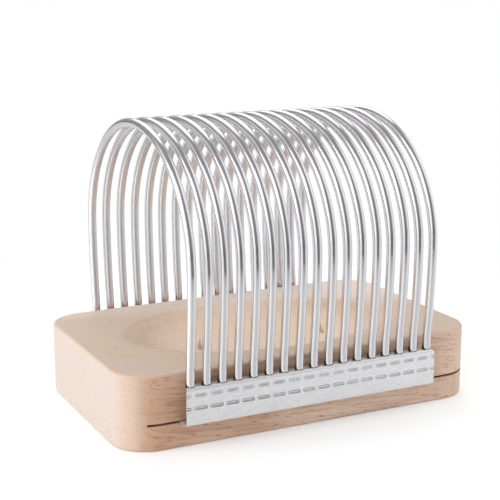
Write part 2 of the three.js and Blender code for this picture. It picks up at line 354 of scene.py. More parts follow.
# Growth rings round a heart that lies outside the board, wavy and a little askew
ring_spacing = 3.8
ring_wave_height = 3.2
heart_shift = (0, 92, -4)
heart_tilt = (0, 0.05, 0.04)
ring_wave = add_node(
    wood, "ShaderNodeMapRange", Value=noises["ring_wave"], From_Min=0.2, From_Max=0.8,
    To_Min=-ring_wave_height, To_Max=ring_wave_height,
)
heart = add_node(
    wood, "ShaderNodeMapping", Vector=grain, Location=heart_shift, Rotation=heart_tilt, Scale=(0, 1, 1),
)
from_heart = add_node(wood, "ShaderNodeVectorMath", {"operation": "LENGTH"}, Vector=heart)
ring_place = add_node(
    wood, "ShaderNodeMath", {"operation": "ADD"}, _0=from_heart.outputs["Value"], _1=ring_wave,
)
ring_place = add_node(wood, "ShaderNodeMath", {"operation": "DIVIDE"}, _0=ring_place, _1=ring_spacing)
ring_share = add_node(wood, "ShaderNodeMath", {"operation": "FRACT"}, _0=ring_place)
late_wood = add_node(
    wood, "ShaderNodeMapRange", eased_range, Value=ring_share, From_Min=0.35, From_Max=0.92,
)
ring_end = add_node(wood, "ShaderNodeMapRange", eased_range, Value=ring_share, From_Min=1.0, From_Max=0.93)
ring_tone = add_node(wood, "ShaderNodeMath", {"operation": "MULTIPLY"}, _0=late_wood, _1=ring_end)

# Pores: long narrow cells along the grain, of which only some are open
pore_length = 7
pore_width = 1
pore_cells = add_node(
    wood, "ShaderNodeTexVoronoi", Scale=1.0,
    Vector=add_node(
        wood, "ShaderNodeMapping", Vector=grain,
        Scale=(1 / pore_length, 1 / pore_width, 1 / pore_width),
    ),
)
pore_shape = add_node(
    wood, "ShaderNodeMapRange", eased_range,
    Value=pore_cells.outputs["Distance"], From_Min=0.34, From_Max=0.14,
)
pore_chance = add_node(wood, "ShaderNodeSeparateXYZ", Vector=pore_cells.outputs["Color"])
pore_open = add_node(
    wood, "ShaderNodeMapRange", Value=pore_chance.outputs["X"], From_Min=0.48, From_Max=0.85,
)
pores = add_node(wood, "ShaderNodeMath", {"operation": "MULTIPLY"}, _0=pore_shape, _1=pore_open)

# Streaks: thin dark lines, some 10 to 20 mm long, and broader soft ones
streaks = add_node(
    wood, "ShaderNodeMapRange", eased_range, Value=noises["streaks"], From_Min=0.52, From_Max=0.7,
)
broad_streaks = add_node(
    wood, "ShaderNodeMapRange", eased_range, Value=noises["broad_streaks"], From_Min=0.5, From_Max=0.68,
)

# The top's colour. Towards the rear it is lighter: painted light, which stands in for light from behind. In
# the dish it is warmer, as freshly routed wood is, and also lighter, as painted light against the cage's
# shade. The dish's end walls are painted darker, as painted shade.
top_colour = add_node(
    wood, "ShaderNodeMix", colour_mix,
    Factor=add_node(
        wood, "ShaderNodeMapRange", Value=noises["blotches"], From_Min=0.36, From_Max=0.64,
    ),
    A=paint("#D5BFB0"), B=paint("#D5BEA8"),
)
# Painted light: the top is lighter towards the rear
rear_light_skew = 0.3
rear_light_start = 12
rear_light_full = 66
toward_rear_light = add_node(
    wood, "ShaderNodeMath", {"operation": "MULTIPLY_ADD"},
    _0=grain_xyz.outputs["X"], _1=rear_light_skew, _2=grain_xyz.outputs["Y"],
)
rear_painted_light = add_node(
    wood, "ShaderNodeMapRange", eased_range, Value=toward_rear_light, From_Min=rear_light_start, From_Max=rear_light_full,
)
# Painted shade on the dish's end walls, below the rim, on faces that turn endwards
dish_end_shade_blend = 3.7
dish_end_shade = add_node(
    wood, "ShaderNodeMapRange", eased_range, Value=end_facing, From_Min=0.03, From_Max=0.4, To_Max=0.5,
)
below_rim = add_node(
    wood, "ShaderNodeMapRange", eased_range,
    Value=grain_xyz.outputs["Z"], From_Min=rim_level, From_Max=rim_level - dish_end_shade_blend,
)
for mask in (below_rim, face_up):
    dish_end_shade = add_node(wood, "ShaderNodeMath", {"operation": "MULTIPLY"}, _0=dish_end_shade, _1=mask)
for amount, colour in ((rear_painted_light, "#EFDFD3"), (in_dish, "#EBD0B8"), (dish_end_shade, "#B69B86")):
    top_colour = add_node(wood, "ShaderNodeMix", colour_mix, Factor=amount, A=top_colour, B=paint(colour))

# The sides' colour. It is lighter towards the right end and darker towards the left: painted light, which
# stands in for more light from the right.
side_light_gradient = add_node(
    wood, "ShaderNodeMapRange", Value=grain_xyz.outputs["X"],
    From_Min=block_low.x / mm, From_Max=block_high.x / mm, To_Min=-0.3, To_Max=0.3,
)
side_tone = add_node(wood, "ShaderNodeMath", {"operation": "ADD"}, _0=noises["blotches"], _1=side_light_gradient)
side_colour = add_node(
    wood, "ShaderNodeMix", colour_mix,
    Factor=add_node(wood, "ShaderNodeMapRange", Value=side_tone, From_Min=0.15, From_Max=0.85),
    A=paint("#CEA78C"), B=paint("#EACEBA"),
)

# Over both lie the ends, and the edges and corners, which are sanded most and a little warmer
body_colour = add_node(wood, "ShaderNodeMix", colour_mix, Factor=on_side, A=top_colour, B=side_colour)
for amount, colour in ((on_end, "#DECDC2"), (on_edge, "#DDB48C"), (on_corner, "#E2BF9F")):
    body_colour = add_node(wood, "ShaderNodeMix", colour_mix, Factor=amount, A=body_colour, B=paint(colour))

# How strongly each pattern shows on the top and at the corners, on the sides, and on the ends
along_side = add_node(
    wood, "ShaderNodeMapRange", eased_range, Value=side_facing, From_Min=0.86, From_Max=0.995,
)
pattern_strengths = [
    (ring_tone, 0.05, 0.1, 0.0, "#A9825F"),
    (broad_streaks, 0.05, 0.3, 0.0, "#A26B4E"),
    (streaks, 0.12, 0.42, 0.0, "#9B6C4E"),
    (pores, 0.32, 0.7, 0.12, "#7E4E36"),
]
for pattern, on_top_amount, on_side_amount, on_end_amount, colour in pattern_strengths:
    amount = add_node(
        wood, "ShaderNodeMapRange", Value=along_side, To_Min=on_top_amount, To_Max=on_side_amount,
    )
    amount = add_node(wood, "ShaderNodeMix", Factor=on_end, A=amount, B=on_end_amount)
    amount = add_node(wood, "ShaderNodeMath", {"operation": "MULTIPLY"}, _0=amount, _1=pattern)
    body_colour = add_node(wood, "ShaderNodeMix", colour_mix, Factor=amount, A=body_colour, B=paint(colour))

# Fibres make it lighter and darker all over, and the speckle does so on the ends
fibre_tone = add_node(
    wood, "ShaderNodeMapRange", Value=noises["fibres"], From_Min=0.3, From_Max=0.7,
    To_Min=0.945, To_Max=1.05,
)
speckle = add_node(
    wood, "ShaderNodeMapRange", Value=noises["speckle"], From_Min=0.3, From_Max=0.7,
    To_Min=0.88, To_Max=1.09,
)
speckle = add_node(wood, "ShaderNodeMix", Factor=on_end, A=1.0, B=speckle)
for tone in (fibre_tone, speckle):
    body_colour = add_node(
        wood, "ShaderNodeVectorMath", {"operation": "SCALE"}, Vector=body_colour, Scale=tone,
    )

# A small brown patch is painted in front of each pin
pin_names = ("loaf_pin_left", "loaf_pin_right")
patch_half_width = 1.7
patch_half_length = 6
patch_shift_x = -1.8
patch_shift_y = -6
patch_turn = math.radians(-22)
for name in pin_names:
    pin_low, pin_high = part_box(name)
    pin_place = (pin_low + pin_high) / 2 / mm
    from_patch = add_node(
        wood, "ShaderNodeMapping", {"vector_type": "TEXTURE"},
        Vector=add_node(
            wood, "ShaderNodeCombineXYZ", X=grain_xyz.outputs["X"], Y=grain_xyz.outputs["Y"],
        ),
        Location=(pin_place.x + patch_shift_x, pin_place.y + patch_shift_y, 0),
        Rotation=(0, 0, patch_turn), Scale=(patch_half_width, patch_half_length, 1),
    )
    from_patch = add_node(wood, "ShaderNodeVectorMath", {"operation": "LENGTH"}, Vector=from_patch)
    brown_patch = add_node(
        wood, "ShaderNodeMapRange", eased_range,
        Value=from_patch.outputs["Value"], From_Min=1.1, From_Max=0.85, To_Max=0.75,
    )
    body_colour = add_node(
        wood, "ShaderNodeMix", colour_mix, Factor=brown_patch, A=body_colour, B=paint("#A67C5A"),
    )
# Painted shade inside the kerf
body_colour = add_node(wood, "ShaderNodeMix", colour_mix, Factor=kerf_shade, A=body_colour, B=paint("#B98A6A"))

sanded_roughness = add_node(
    wood, "ShaderNodeMapRange", Value=noises["fibres"], From_Min=0.3, From_Max=0.7,
    To_Min=0.56, To_Max=0.68,
)
relief = add_node(wood, "ShaderNodeMath", {"operation": "SUBTRACT"}, _0=noises["fibres"], _1=pores)
sanded_relief = add_node(wood, "ShaderNodeBump", Strength=0.35, Distance=0.12 * mm, Height=relief)
wood_shader = add_node(
    wood, "ShaderNodeBsdfPrincipled", Base_Color=body_colour, Roughness=sanded_roughness,
    Normal=sanded_relief,
)
add_node(wood, "ShaderNodeOutputMaterial", Surface=wood_shader)
dress(block, wood, "wood", "base", "wood_base")

# Loaf pins.
# Two short nails of stainless wire, ground to a blunt point and driven into the floor of the dish.
# They keep the loaf from sliding.

# The pins' points are ground, which leaves them duller than the wires. The scratches are drawn at
# 0.4 mm, to show at all.
ground_steel = new_material("ground_stainless_pin")
grinding_size = 0.4 * mm
ground_spot = add_node(ground_steel, "ShaderNodeTexCoord")
grinding = add_node(
    ground_steel, "ShaderNodeTexNoise", Vector=ground_spot.outputs["Object"], Scale=1 / grinding_size,
    Detail=2.0,
)
ground_roughness = add_node(
    ground_steel, "ShaderNodeMapRange", Value=grinding, From_Min=0.3, From_Max=0.7, To_Min=0.28, To_Max=0.38,
)
ground_shader = add_node(
    ground_steel, "ShaderNodeBsdfPrincipled", Base_Color=paint("#DAD8D6"), Metallic=1.0,
    Roughness=ground_roughness,
)
add_node(ground_steel, "ShaderNodeOutputMaterial", Surface=ground_shader)

pin_radius = 1.5 * mm
pin_height = 5.5 * mm
pin_sides = 32
# Shares of the pin's height and radius, from the floor of the dish up to the point
pin_rings = [(0.35, 0.82), (0.7, 0.54), (0.93, 0.28), (1, 0.1)]
for name in pin_names:
    pin_low, pin_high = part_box(name)
    pin_middle = (pin_low + pin_high) / 2
    floor_level = pin_high.z - pin_height
    bpy.ops.object.select_all(action="DESELECT")
    bpy.ops.mesh.primitive_cylinder_add(
        vertices=pin_sides, radius=pin_radius, depth=floor_level - pin_low.z,
        location=(pin_middle.x, pin_middle.y, (floor_level + pin_low.z) / 2),
    )
    pin = bpy.context.object
    pin.name = name.replace("loaf_pin", "pin")
    bpy.ops.object.transform_apply(location=True)
    start_edit(pin)
    pick("faces", lambda face, corners: min(corner.z for corner in corners) > floor_level - near)
    height_share = 0
    radius_share = 1
    for next_height, next_radius in pin_rings:
        bpy.ops.mesh.extrude_region()
        bpy.ops.transform.translate(value=(0, 0, (next_height - height_share) * pin_height))
        scale = next_radius / radius_share
        bpy.ops.transform.resize(
            value=(scale, scale, 1),
            center_override=(pin_middle.x, pin_middle.y, floor_level + next_height * pin_height),
        )
        height_share, radius_share = next_height, next_radius
    end_edit()
    smooth(pin, degrees=60)
    dress(pin, ground_steel, "pin", "base", name)

# Folded strips.
# Satin stainless sheet, folded over the wire ends. It starts as a flange in the kerf, turns up as the
# front leaf, folds over, comes down behind the wires, and is clinched to the front leaf below them.
strip_low, strip_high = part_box("front_strip")
sheet = 0.7 * mm
fold_radius = 1.05 * mm
wire_pitch = 9.14 * mm
wire_count = 17
back_leaf_gap = 1.6 * mm
wire_y = (strip_low.y + block_low.y - back_leaf_gap) / 2
pocket_depth = 7.6 * mm
jog_rise = 2 * mm
lap_height = 4 * mm
lap_gap = 0.04 * mm
strip_corner_radius = 2.5 * mm
strip_corner_segments = 10
end_relief = 2.4 * mm
hole_radius = 2.6 * mm
hole_sides = 32
punch_length = 8 * mm
punch_lift = 1 * mm
dimple_drop = 4.5 * mm
dimple_core = Vector((1.9 * mm, 0.1 * mm))
dimple_spread = 2 * mm
dimple_depth = 0.85 * mm
clinch_drop = 1.6 * mm
clinch_core = Vector((2.75 * mm, 0.5 * mm))
clinch_spread = 0.42 * mm
clinch_depth = 0.62 * mm
# The sheet's mesh is fine in two bands, this far up and down from the clinches and the dimples
clinch_band = 1.4 * mm
dimple_band = 1.8 * mm
sheet_columns = 440
fine_step = 0.24 * mm
coarse_step = 1.3 * mm
bend_steps = 5

cage_middle = (strip_low.x + strip_high.x) / 2
wire_places = [cage_middle + (wire - (wire_count - 1) / 2) * wire_pitch for wire in range(wire_count)]
gap_places = [place + wire_pitch / 2 for place in wire_places[:-1]]
clinch_places = [gap_places[0] - wire_pitch, *gap_places, gap_places[-1] + wire_pitch]
dimple_level = strip_high.z - dimple_drop
jog_bottom = strip_high.z - pocket_depth - jog_rise
clinch_level = jog_bottom - clinch_drop


def extend(y, z, step):
    """Extrudes the selected edges straight on to a place, in steps of about the given length."""
    ends = [vert.co for vert in bmesh.from_edit_mesh(bpy.context.edit_object.data).verts if vert.select]
    by = Vector((0, y - ends[0].y, z - ends[0].z))
    count = max(1, round(by.length / step))
    for _ in range(count):
        bpy.ops.mesh.extrude_region()
        bpy.ops.transform.translate(value=by / count)


def bend(y, z):
    """Bends the sheet on from the selected edges by a quarter turn, about a line along X."""
    bpy.ops.mesh.spin(steps=bend_steps, angle=math.pi / 2, center=(cage_middle, y, z), axis=(1, 0, 0))


def press(place, level, core, spread, depth):
    """Presses a long oval in from the front, flat in its core, with a wall of the given spread."""
    def in_core(vert, corners):
        off_x = max(0, abs(vert.co.x - place) - core.x)
        in_lap = vert.co.y < lap_back
        return in_lap and math.hypot(off_x, vert.co.z - level) < core.y

    pick("verts", in_core)
    bpy.ops.transform.translate(
        value=(0, depth, 0), use_proportional_edit=True, use_proportional_connected=True,
        proportional_edit_falloff="SMOOTH", proportional_size=spread,
    )


# The sheet is modelled as its middle surface, and gets its thickness at the end
front_y = strip_low.y + sheet / 2
back_y = block_low.y - back_leaf_gap - sheet / 2
lap_y = front_y + sheet + lap_gap
flange_z = strip_low.z + sheet / 2
top_z = strip_high.z - sheet / 2
front_bend = front_y + fold_radius
back_bend = back_y - fold_radius
# Both leaves of the lap are pressed, which lie in front of this, but not the leaf behind the wires
lap_back = strip_low.y + 3 * sheet
bpy.ops.object.select_all(action="DESELECT")
bpy.ops.mesh.primitive_grid_add(x_subdivisions=sheet_columns, y_subdivisions=1, size=1)
front_strip = bpy.context.object
front_strip.name = "folded_strip_front"
start_edit(front_strip)
bpy.ops.mesh.select_all(action="SELECT")
bpy.ops.transform.resize(value=(strip_high.x - strip_low.x, strip_high.y - front_bend, 1))
bpy.ops.transform.translate(value=(cage_middle, (strip_high.y + front_bend) / 2, flange_z))
pick("edges", lambda edge, ends: max(end.y for end in ends) < front_bend + near)
bend(front_bend, flange_z + fold_radius)
extend(front_y, clinch_level - clinch_band, coarse_step)
extend(front_y, clinch_level + clinch_band, fine_step)
extend(front_y, dimple_level - dimple_band, coarse_step)
extend(front_y, dimple_level + dimple_band, fine_step)
extend(front_y, top_z - fold_radius, coarse_step)
bend(front_bend, top_z - fold_radius)
extend(back_bend, top_z, coarse_step)
bend(back_bend, top_z - fold_radius)
extend(back_y, jog_bottom + jog_rise - sheet / 2, coarse_step)
extend(lap_y, jog_bottom - sheet / 2, coarse_step)
extend(lap_y, jog_bottom - lap_height, fine_step)
bpy.ops.mesh.select_all(action="SELECT")
bpy.ops.mesh.normals_make_consistent(inside=False)
for place in gap_places:
    press(place, dimple_level, dimple_core, dimple_spread, dimple_depth)
for place in clinch_places:
    press(place, clinch_level, clinch_core, clinch_spread, clinch_depth)
end_edit()
apply_modifier(front_strip, "SOLIDIFY", thickness=sheet, offset=0, use_even_offset=True)
start_edit(front_strip)
bpy.ops.mesh.select_all(action="SELECT")
bpy.ops.mesh.normals_make_consistent(inside=False)
end_edit()

# The front leaf's corners are rounded. A cutter's face never lies quite in a face that it cuts.
strip_middle = (strip_low + strip_high) / 2
strip_size = strip_high - strip_low
bpy.ops.mesh.primitive_cube_add(size=1)
outline = bpy.context.object
start_edit(outline)
bpy.ops.transform.resize(value=(strip_size.x + near, 2 * strip_size.y, 2 * strip_size.z + near))
bpy.ops.transform.translate(value=(strip_middle.x, strip_middle.y, strip_low.z))
pick(
    "edges",
    lambda edge, ends: min(end.z for end in ends) > strip_middle.z and abs(ends[0].x - ends[1].x) < near,
)
bpy.ops.mesh.bevel(offset=strip_corner_radius, segments=strip_corner_segments, affect="EDGES")
end_edit()
cut(front_strip, outline, "INTERSECT")

# At both ends the back leaf and the fold stop short, and only the front leaf goes on
relief_front = strip_low.y + fold_radius + sheet / 2 + near
relief_bottom = jog_bottom - lap_height - sheet
for place in (strip_low.x, strip_high.x):
    bpy.ops.mesh.primitive_cube_add(size=1)
    notch = bpy.context.object
    start_edit(notch)
    bpy.ops.transform.resize(value=(2 * end_relief, strip_size.y, strip_size.z))
    bpy.ops.transform.translate(
        value=(place, relief_front + strip_size.y / 2, relief_bottom + strip_size.z / 2),
    )
    end_edit()
    cut(front_strip, notch)

# Holes for the wires are punched in the fold
bpy.ops.object.select_all(action="DESELECT")
bpy.ops.mesh.primitive_cylinder_add(vertices=hole_sides, radius=hole_radius, depth=punch_length)
punches = bpy.context.object
start_edit(punches)
bpy.ops.transform.translate(value=(wire_places[0], wire_y, strip_high.z + punch_lift))
for _ in wire_places[1:]:
    bpy.ops.mesh.duplicate()
    bpy.ops.transform.translate(value=(wire_pitch, 0, 0))
end_edit()
cut(front_strip, punches)
smooth(front_strip, degrees=50)


def copy_of(piece, name):
    """A copy of a piece, with its own mesh."""
    twin = piece.copy()
    twin.data = piece.data.copy()
    twin.name = name
    bpy.context.scene.collection.objects.link(twin)
    return twin


# The rear strip is the front one turned half round
rear_strip = copy_of(front_strip, "folded_strip_rear")
start_edit(rear_strip)
bpy.ops.mesh.select_all(action="SELECT")
bpy.ops.transform.rotate(value=math.pi, orient_axis="Z", center_override=(cage_middle, 0, 0))
end_edit()

# Stainless sheet with a satin mill finish: pale and soft, with faint rolling lines along its length,
# which are drawn half a millimetre wide, to show at all
satin_sheet = new_material("satin_stainless_sheet")
rolling_length = 14 * mm
rolling_width = 0.5 * mm
cloud_size = 7 * mm
sheet_spot = add_node(satin_sheet, "ShaderNodeTexCoord")
rolling_lines = add_node(
    satin_sheet, "ShaderNodeTexNoise", Scale=1.0, Detail=2.0, Roughness=0.5,
    Vector=add_node(
        satin_sheet, "ShaderNodeMapping", Vector=sheet_spot.outputs["Object"],
        Scale=(1 / rolling_length, 1 / rolling_width, 1 / rolling_width),
    ),
)
mill_clouds = add_node(
    satin_sheet, "ShaderNodeTexNoise", Vector=sheet_spot.outputs["Object"], Scale=1 / cloud_size, Detail=3.0,
)
sheet_colour = add_node(
    satin_sheet, "ShaderNodeMix", colour_mix,
    Factor=add_node(satin_sheet, "ShaderNodeMapRange", Value=mill_clouds, From_Min=0.35, From_Max=0.65),
    A=paint("#F3F2F4"), B=paint("#F8F8FA"),
)

# Painted shade: a dark line round each clinch and a grey band along the top of each dimple, where the
# pressed walls lie in shade
sheet_xyz = add_node(satin_sheet, "ShaderNodeSeparateXYZ", Vector=sheet_spot.outputs["Object"])
off_gap = add_node(
    satin_sheet, "ShaderNodeMath", {"operation": "SUBTRACT"}, _0=sheet_xyz.outputs["X"], _1=gap_places[0],
)
off_gap = add_node(
    satin_sheet, "ShaderNodeMath", {"operation": "WRAP"}, _0=off_gap, _1=wire_pitch / 2, _2=-wire_pitch / 2,
)
off_gap = add_node(satin_sheet, "ShaderNodeMath", {"operation": "ABSOLUTE"}, _0=off_gap)
# The painted shade is strongest up to the first of these places, and from there on weaker and weaker up to
# the second
shade_fade_start = -50 * mm
shade_fade_end = 10 * mm
dimple_shade_level = dimple_level + 0.2 * mm
dimple_shade_half_length = 2.3 * mm
# For each row: its level, and half the length of a mark's core. How far from that core, in
# millimetres, the mark starts, is full, holds and has ended, where less than zero fills the core. Its
# colour, and its strength at the left and at the right.
crease_shades = [
    (clinch_level, clinch_core.x, (-0.05, 0.75, 0.85, 1.25), "#5C5A58", 0.78, 0.5),
    (dimple_shade_level, dimple_shade_half_length, (-2.0, -1.0, 0.0, 1.9), "#7E7D82", 0.62, 0.62),
]
for row_level, half_core, (begin, full, hold, stop), colour, left_share, right_share in crease_shades:
    off_core = add_node(satin_sheet, "ShaderNodeMath", {"operation": "SUBTRACT"}, _0=off_gap, _1=half_core)
    off_core = add_node(satin_sheet, "ShaderNodeMath", {"operation": "MAXIMUM"}, _0=off_core, _1=0.0)
    off_row = add_node(
        satin_sheet, "ShaderNodeMath", {"operation": "SUBTRACT"}, _0=sheet_xyz.outputs["Z"], _1=row_level,
    )
    off_mark = add_node(satin_sheet, "ShaderNodeCombineXYZ", X=off_core, Y=off_row)
    off_mark = add_node(satin_sheet, "ShaderNodeVectorMath", {"operation": "LENGTH"}, Vector=off_mark)
    shade_strength = add_node(
        satin_sheet, "ShaderNodeMapRange", Value=sheet_xyz.outputs["X"], From_Min=shade_fade_start,
        From_Max=shade_fade_end, To_Min=left_share, To_Max=right_share,
    )
    begun = add_node(
        satin_sheet, "ShaderNodeMapRange", eased_range,
        Value=off_mark.outputs["Value"], From_Min=begin * mm, From_Max=full * mm, To_Max=shade_strength,
    )
    ended = add_node(
        satin_sheet, "ShaderNodeMapRange", eased_range,
        Value=off_mark.outputs["Value"], From_Min=stop * mm, From_Max=hold * mm,
    )
    mark = add_node(satin_sheet, "ShaderNodeMath", {"operation": "MULTIPLY"}, _0=begun, _1=ended)
    shade_mottle = add_node(
        satin_sheet, "ShaderNodeMapRange", Value=mill_clouds, From_Min=0.35, From_Max=0.65, To_Min=0.6,
    )
    mark = add_node(satin_sheet, "ShaderNodeMath", {"operation": "MULTIPLY"}, _0=mark, _1=shade_mottle)
    sheet_colour = add_node(
        satin_sheet, "ShaderNodeMix", colour_mix, Factor=mark, A=sheet_colour, B=paint(colour),
    )
sheet_roughness = add_node(
    satin_sheet, "ShaderNodeMapRange", Value=rolling_lines, From_Min=0.3, From_Max=0.7,
    To_Min=0.25, To_Max=0.3,
)
sheet_relief = add_node(
    satin_sheet, "ShaderNodeBump", Strength=0.06, Distance=0.02 * mm, Height=rolling_lines,
)
sheet_shader = add_node(
    satin_sheet, "ShaderNodeBsdfPrincipled", Base_Color=sheet_colour, Metallic=0.7,
    Roughness=sheet_roughness, Normal=sheet_relief,
)
add_node(satin_sheet, "ShaderNodeOutputMaterial", Surface=sheet_shader)
dress(front_strip, satin_sheet, "strip", "cage", "front_strip")
dress(rear_strip, satin_sheet, "strip", "cage", "rear_strip")

# Arched wires.
# Seventeen lengths of round stainless wire, bent to an arch on a former and polished. Each leg is
# straight where it stands in the strip and bows out a little above it, under half an ellipse.
wire_low, wire_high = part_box("hoop_01")
wire_radius = 2.49 * mm
arch_rise = 68.2 * mm
leg_straight = 16 * mm
leg_bow = 3.2 * mm
# Shares of the bow and of the leg's rise at which the leg's curve is steered
bow_low = Vector((0.5, 0.24))
bow_high = Vector((1, 0.62))
# A quarter of an ellipse as one curve: its handles are this share of the half axes
quarter_handle_share = 0.5523
steps_along = 20
steps_round = 10

foot_y = -wire_y
straight_handle = leg_straight / 3
foot_z = wire_low.z
bend_z = foot_z + leg_straight
spring_z = wire_high.z - wire_radius - arch_rise
arch_y = foot_y + leg_bow
rise = spring_z - bend_z
handle_y = quarter_handle_share * arch_y
handle_z = quarter_handle_share * arch_rise
crown_z = spring_z + arch_rise
# Places on the front half of the wire, each with the handle before it and the one after it
front_half = [
    ((-foot_y, foot_z), (-foot_y, foot_z), (-foot_y, foot_z + straight_handle)),
    ((-foot_y, bend_z), (-foot_y, bend_z - straight_handle),
     (-foot_y - bow_low.x * leg_bow, bend_z + bow_low.y * rise)),
    ((-arch_y, spring_z), (-foot_y - bow_high.x * leg_bow, bend_z + bow_high.y * rise),
     (-arch_y, spring_z + handle_z)),
]
crown = [((0, crown_z), (-handle_y, crown_z), (handle_y, crown_z))]
rear_half = [((-y, z), (-out[0], out[1]), (-into[0], into[1])) for (y, z), into, out in reversed(front_half)]
route = front_half + crown + rear_half

bpy.ops.object.select_all(action="DESELECT")
bpy.ops.curve.primitive_bezier_curve_add()
first_wire = bpy.context.object
spline = first_wire.data.splines[0]
spline.bezier_points.add(len(route) - len(spline.bezier_points))
for point, (centre, before, after) in zip(spline.bezier_points, route):
    point.handle_left_type = point.handle_right_type = "FREE"
    point.co = (0, *centre)
    point.handle_left = (0, *before)
    point.handle_right = (0, *after)
first_wire.data.resolution_u = steps_along
first_wire.data.bevel_depth = wire_radius
first_wire.data.bevel_resolution = steps_round
first_wire.data.use_fill_caps = True
bpy.ops.object.convert(target="MESH")
first_wire = bpy.context.object
start_edit(first_wire)
bpy.ops.mesh.select_all(action="SELECT")
bpy.ops.mesh.remove_doubles(threshold=near)
bpy.ops.mesh.normals_make_consistent(inside=False)
end_edit()
smooth(first_wire, degrees=60)

# Stainless wire, drawn, bent and electropolished: a bright mirror whose surface waves a little. Just above
# the strip it is darkened with painted shade, most on the side that faces left and back.
steel = new_material("polished_stainless_wire")
wave_size = 9 * mm
steel_spot = add_node(steel, "ShaderNodeTexCoord")
draw_waves = add_node(
    steel, "ShaderNodeTexNoise", Vector=steel_spot.outputs["Object"], Scale=1 / wave_size,
    Detail=2.0, Roughness=0.5,
)
draw_relief = add_node(steel, "ShaderNodeBump", Strength=0.5, Distance=0.1 * mm, Height=draw_waves)
drawn_roughness = add_node(
    steel, "ShaderNodeMapRange", Value=draw_waves, From_Min=0.3, From_Max=0.7, To_Min=0.1, To_Max=0.18,
)
steel_height = add_node(
    steel, "ShaderNodeSeparateXYZ", Vector=steel_spot.outputs["Object"],
).outputs["Z"]

# The painted shade's height in millimetres: it climbs on the darker side and opposite, and hardly between
dark_side_direction = (-0.9, 0.44, 0)
foot_shade_limit = 8
foot_shade_power = 1.3
foot_shade_on_far_side = 0.2
foot_shade_on_dark_side = 4.0
least_foot_shade = 0.05
above_strip = add_node(
    steel, "ShaderNodeMapRange", Value=steel_height, From_Min=strip_high.z,
    From_Max=strip_high.z + foot_shade_limit * mm, To_Max=foot_shade_limit,
)
toward_dark_side = add_node(
    steel, "ShaderNodeVectorMath", {"operation": "DOT_PRODUCT"},
    _0=steel_spot.outputs["Normal"], _1=dark_side_direction,
)
foot_shade_curve = add_node(
    steel, "ShaderNodeMath", {"operation": "POWER"},
    _0=add_node(
        steel, "ShaderNodeMath", {"operation": "ABSOLUTE"}, _0=toward_dark_side.outputs["Value"],
    ), _1=foot_shade_power,
)
foot_shade_height = add_node(
    steel, "ShaderNodeMapRange", Value=toward_dark_side.outputs["Value"], From_Min=-1, From_Max=1,
    To_Min=foot_shade_on_far_side, To_Max=foot_shade_on_dark_side,
)
foot_shade_reach = add_node(
    steel, "ShaderNodeMath", {"operation": "MULTIPLY_ADD"}, _0=foot_shade_curve, _1=foot_shade_height, _2=least_foot_shade,
)
foot_shade_share = add_node(steel, "ShaderNodeMath", {"operation": "DIVIDE"}, _0=above_strip, _1=foot_shade_reach)
foot_shade = add_node(steel, "ShaderNodeMapRange", eased_range, Value=foot_shade_share, From_Min=1.15, From_Max=0.35)
# Inside the strip the wire has no painted shade, up to just below the fold
out_of_strip = add_node(
    steel, "ShaderNodeMapRange", eased_range,
    Value=steel_height, From_Min=strip_high.z - 0.6 * mm, From_Max=strip_high.z - 0.1 * mm,
)
foot_shade = add_node(steel, "ShaderNodeMath", {"operation": "MULTIPLY"}, _0=foot_shade, _1=out_of_strip)

# The former leaves the wire's inner side duller, so it mirrors the wood only as a soft warm grey
former_roughness = 0.22
to_axis = add_node(
    steel, "ShaderNodeVectorMath", {"operation": "MULTIPLY_ADD"},
    _0=steel_spot.outputs["Object"], _1=(0, -1, -1), _2=(0, 0, spring_z),
)
to_axis = add_node(steel, "ShaderNodeVectorMath", {"operation": "NORMALIZE"}, Vector=to_axis)
facing_in = add_node(
    steel, "ShaderNodeVectorMath", {"operation": "DOT_PRODUCT"},
    _0=steel_spot.outputs["Normal"], _1=to_axis,
)
inner_side = add_node(
    steel, "ShaderNodeMapRange", eased_range, Value=facing_in.outputs["Value"], From_Min=0.6, From_Max=0.85,
)
# The inner side's colour is a touch cooler: a painted change that tones down the wood's warm reflection in
# it
steel_colour = paint("#E6E5E8")
# The darkest colour is the painted shade at the foot
for amount, colour in ((inner_side, "#E2E4E8"), (foot_shade, "#46403C")):
    steel_colour = add_node(
        steel, "ShaderNodeMix", colour_mix, Factor=amount, A=steel_colour, B=paint(colour),
    )
steel_roughness = add_node(
    steel, "ShaderNodeMath", {"operation": "MULTIPLY_ADD"},
    _0=inner_side, _1=former_roughness, _2=drawn_roughness,
)
steel_shader = add_node(
    steel, "ShaderNodeBsdfPrincipled", Base_Color=steel_colour, Metallic=1.0,
    Roughness=steel_roughness, Normal=draw_relief,
)
add_node(steel, "ShaderNodeOutputMaterial", Surface=steel_shader)

# No two wires are bent quite alike: each leans and turns by a fraction of a degree
bending = random.Random(7)
most_lean = 0.18
most_turn = 0.12
for number, place in enumerate(wire_places, start=1):
    wire = copy_of(first_wire, f"arched_wire_{number:02d}")
    start_edit(wire)
    bpy.ops.mesh.select_all(action="SELECT")
    bpy.ops.transform.translate(value=(place, 0, 0))
    foot = (place, 0, strip_high.z)
    lean = math.radians(bending.uniform(-most_lean, most_lean))
    turn = math.radians(bending.uniform(-most_turn, most_turn))
    bpy.ops.transform.rotate(value=lean, orient_axis="Y", center_override=foot)
    bpy.ops.transform.rotate(value=turn, orient_axis="Z", center_override=foot)
    end_edit()
    dress(wire, steel, "wire", "cage", f"hoop_{number:02d}")
bpy.data.objects.remove(first_wire)

# Studio.
# A satin white table, softboxes on the left, on the right and behind, and a dim room in front. Cameras
# see the table and all round it as plain white.
table_size = 6
bpy.ops.object.select_all(action="DESELECT")
bpy.ops.mesh.primitive_plane_add(size=table_size)
table = bpy.context.object
table.name = "table_top"
white_table = new_material("satin_white_table")
table_spot = add_node(white_table, "ShaderNodeTexCoord")
table_rays = add_node(white_table, "ShaderNodeLightPath")
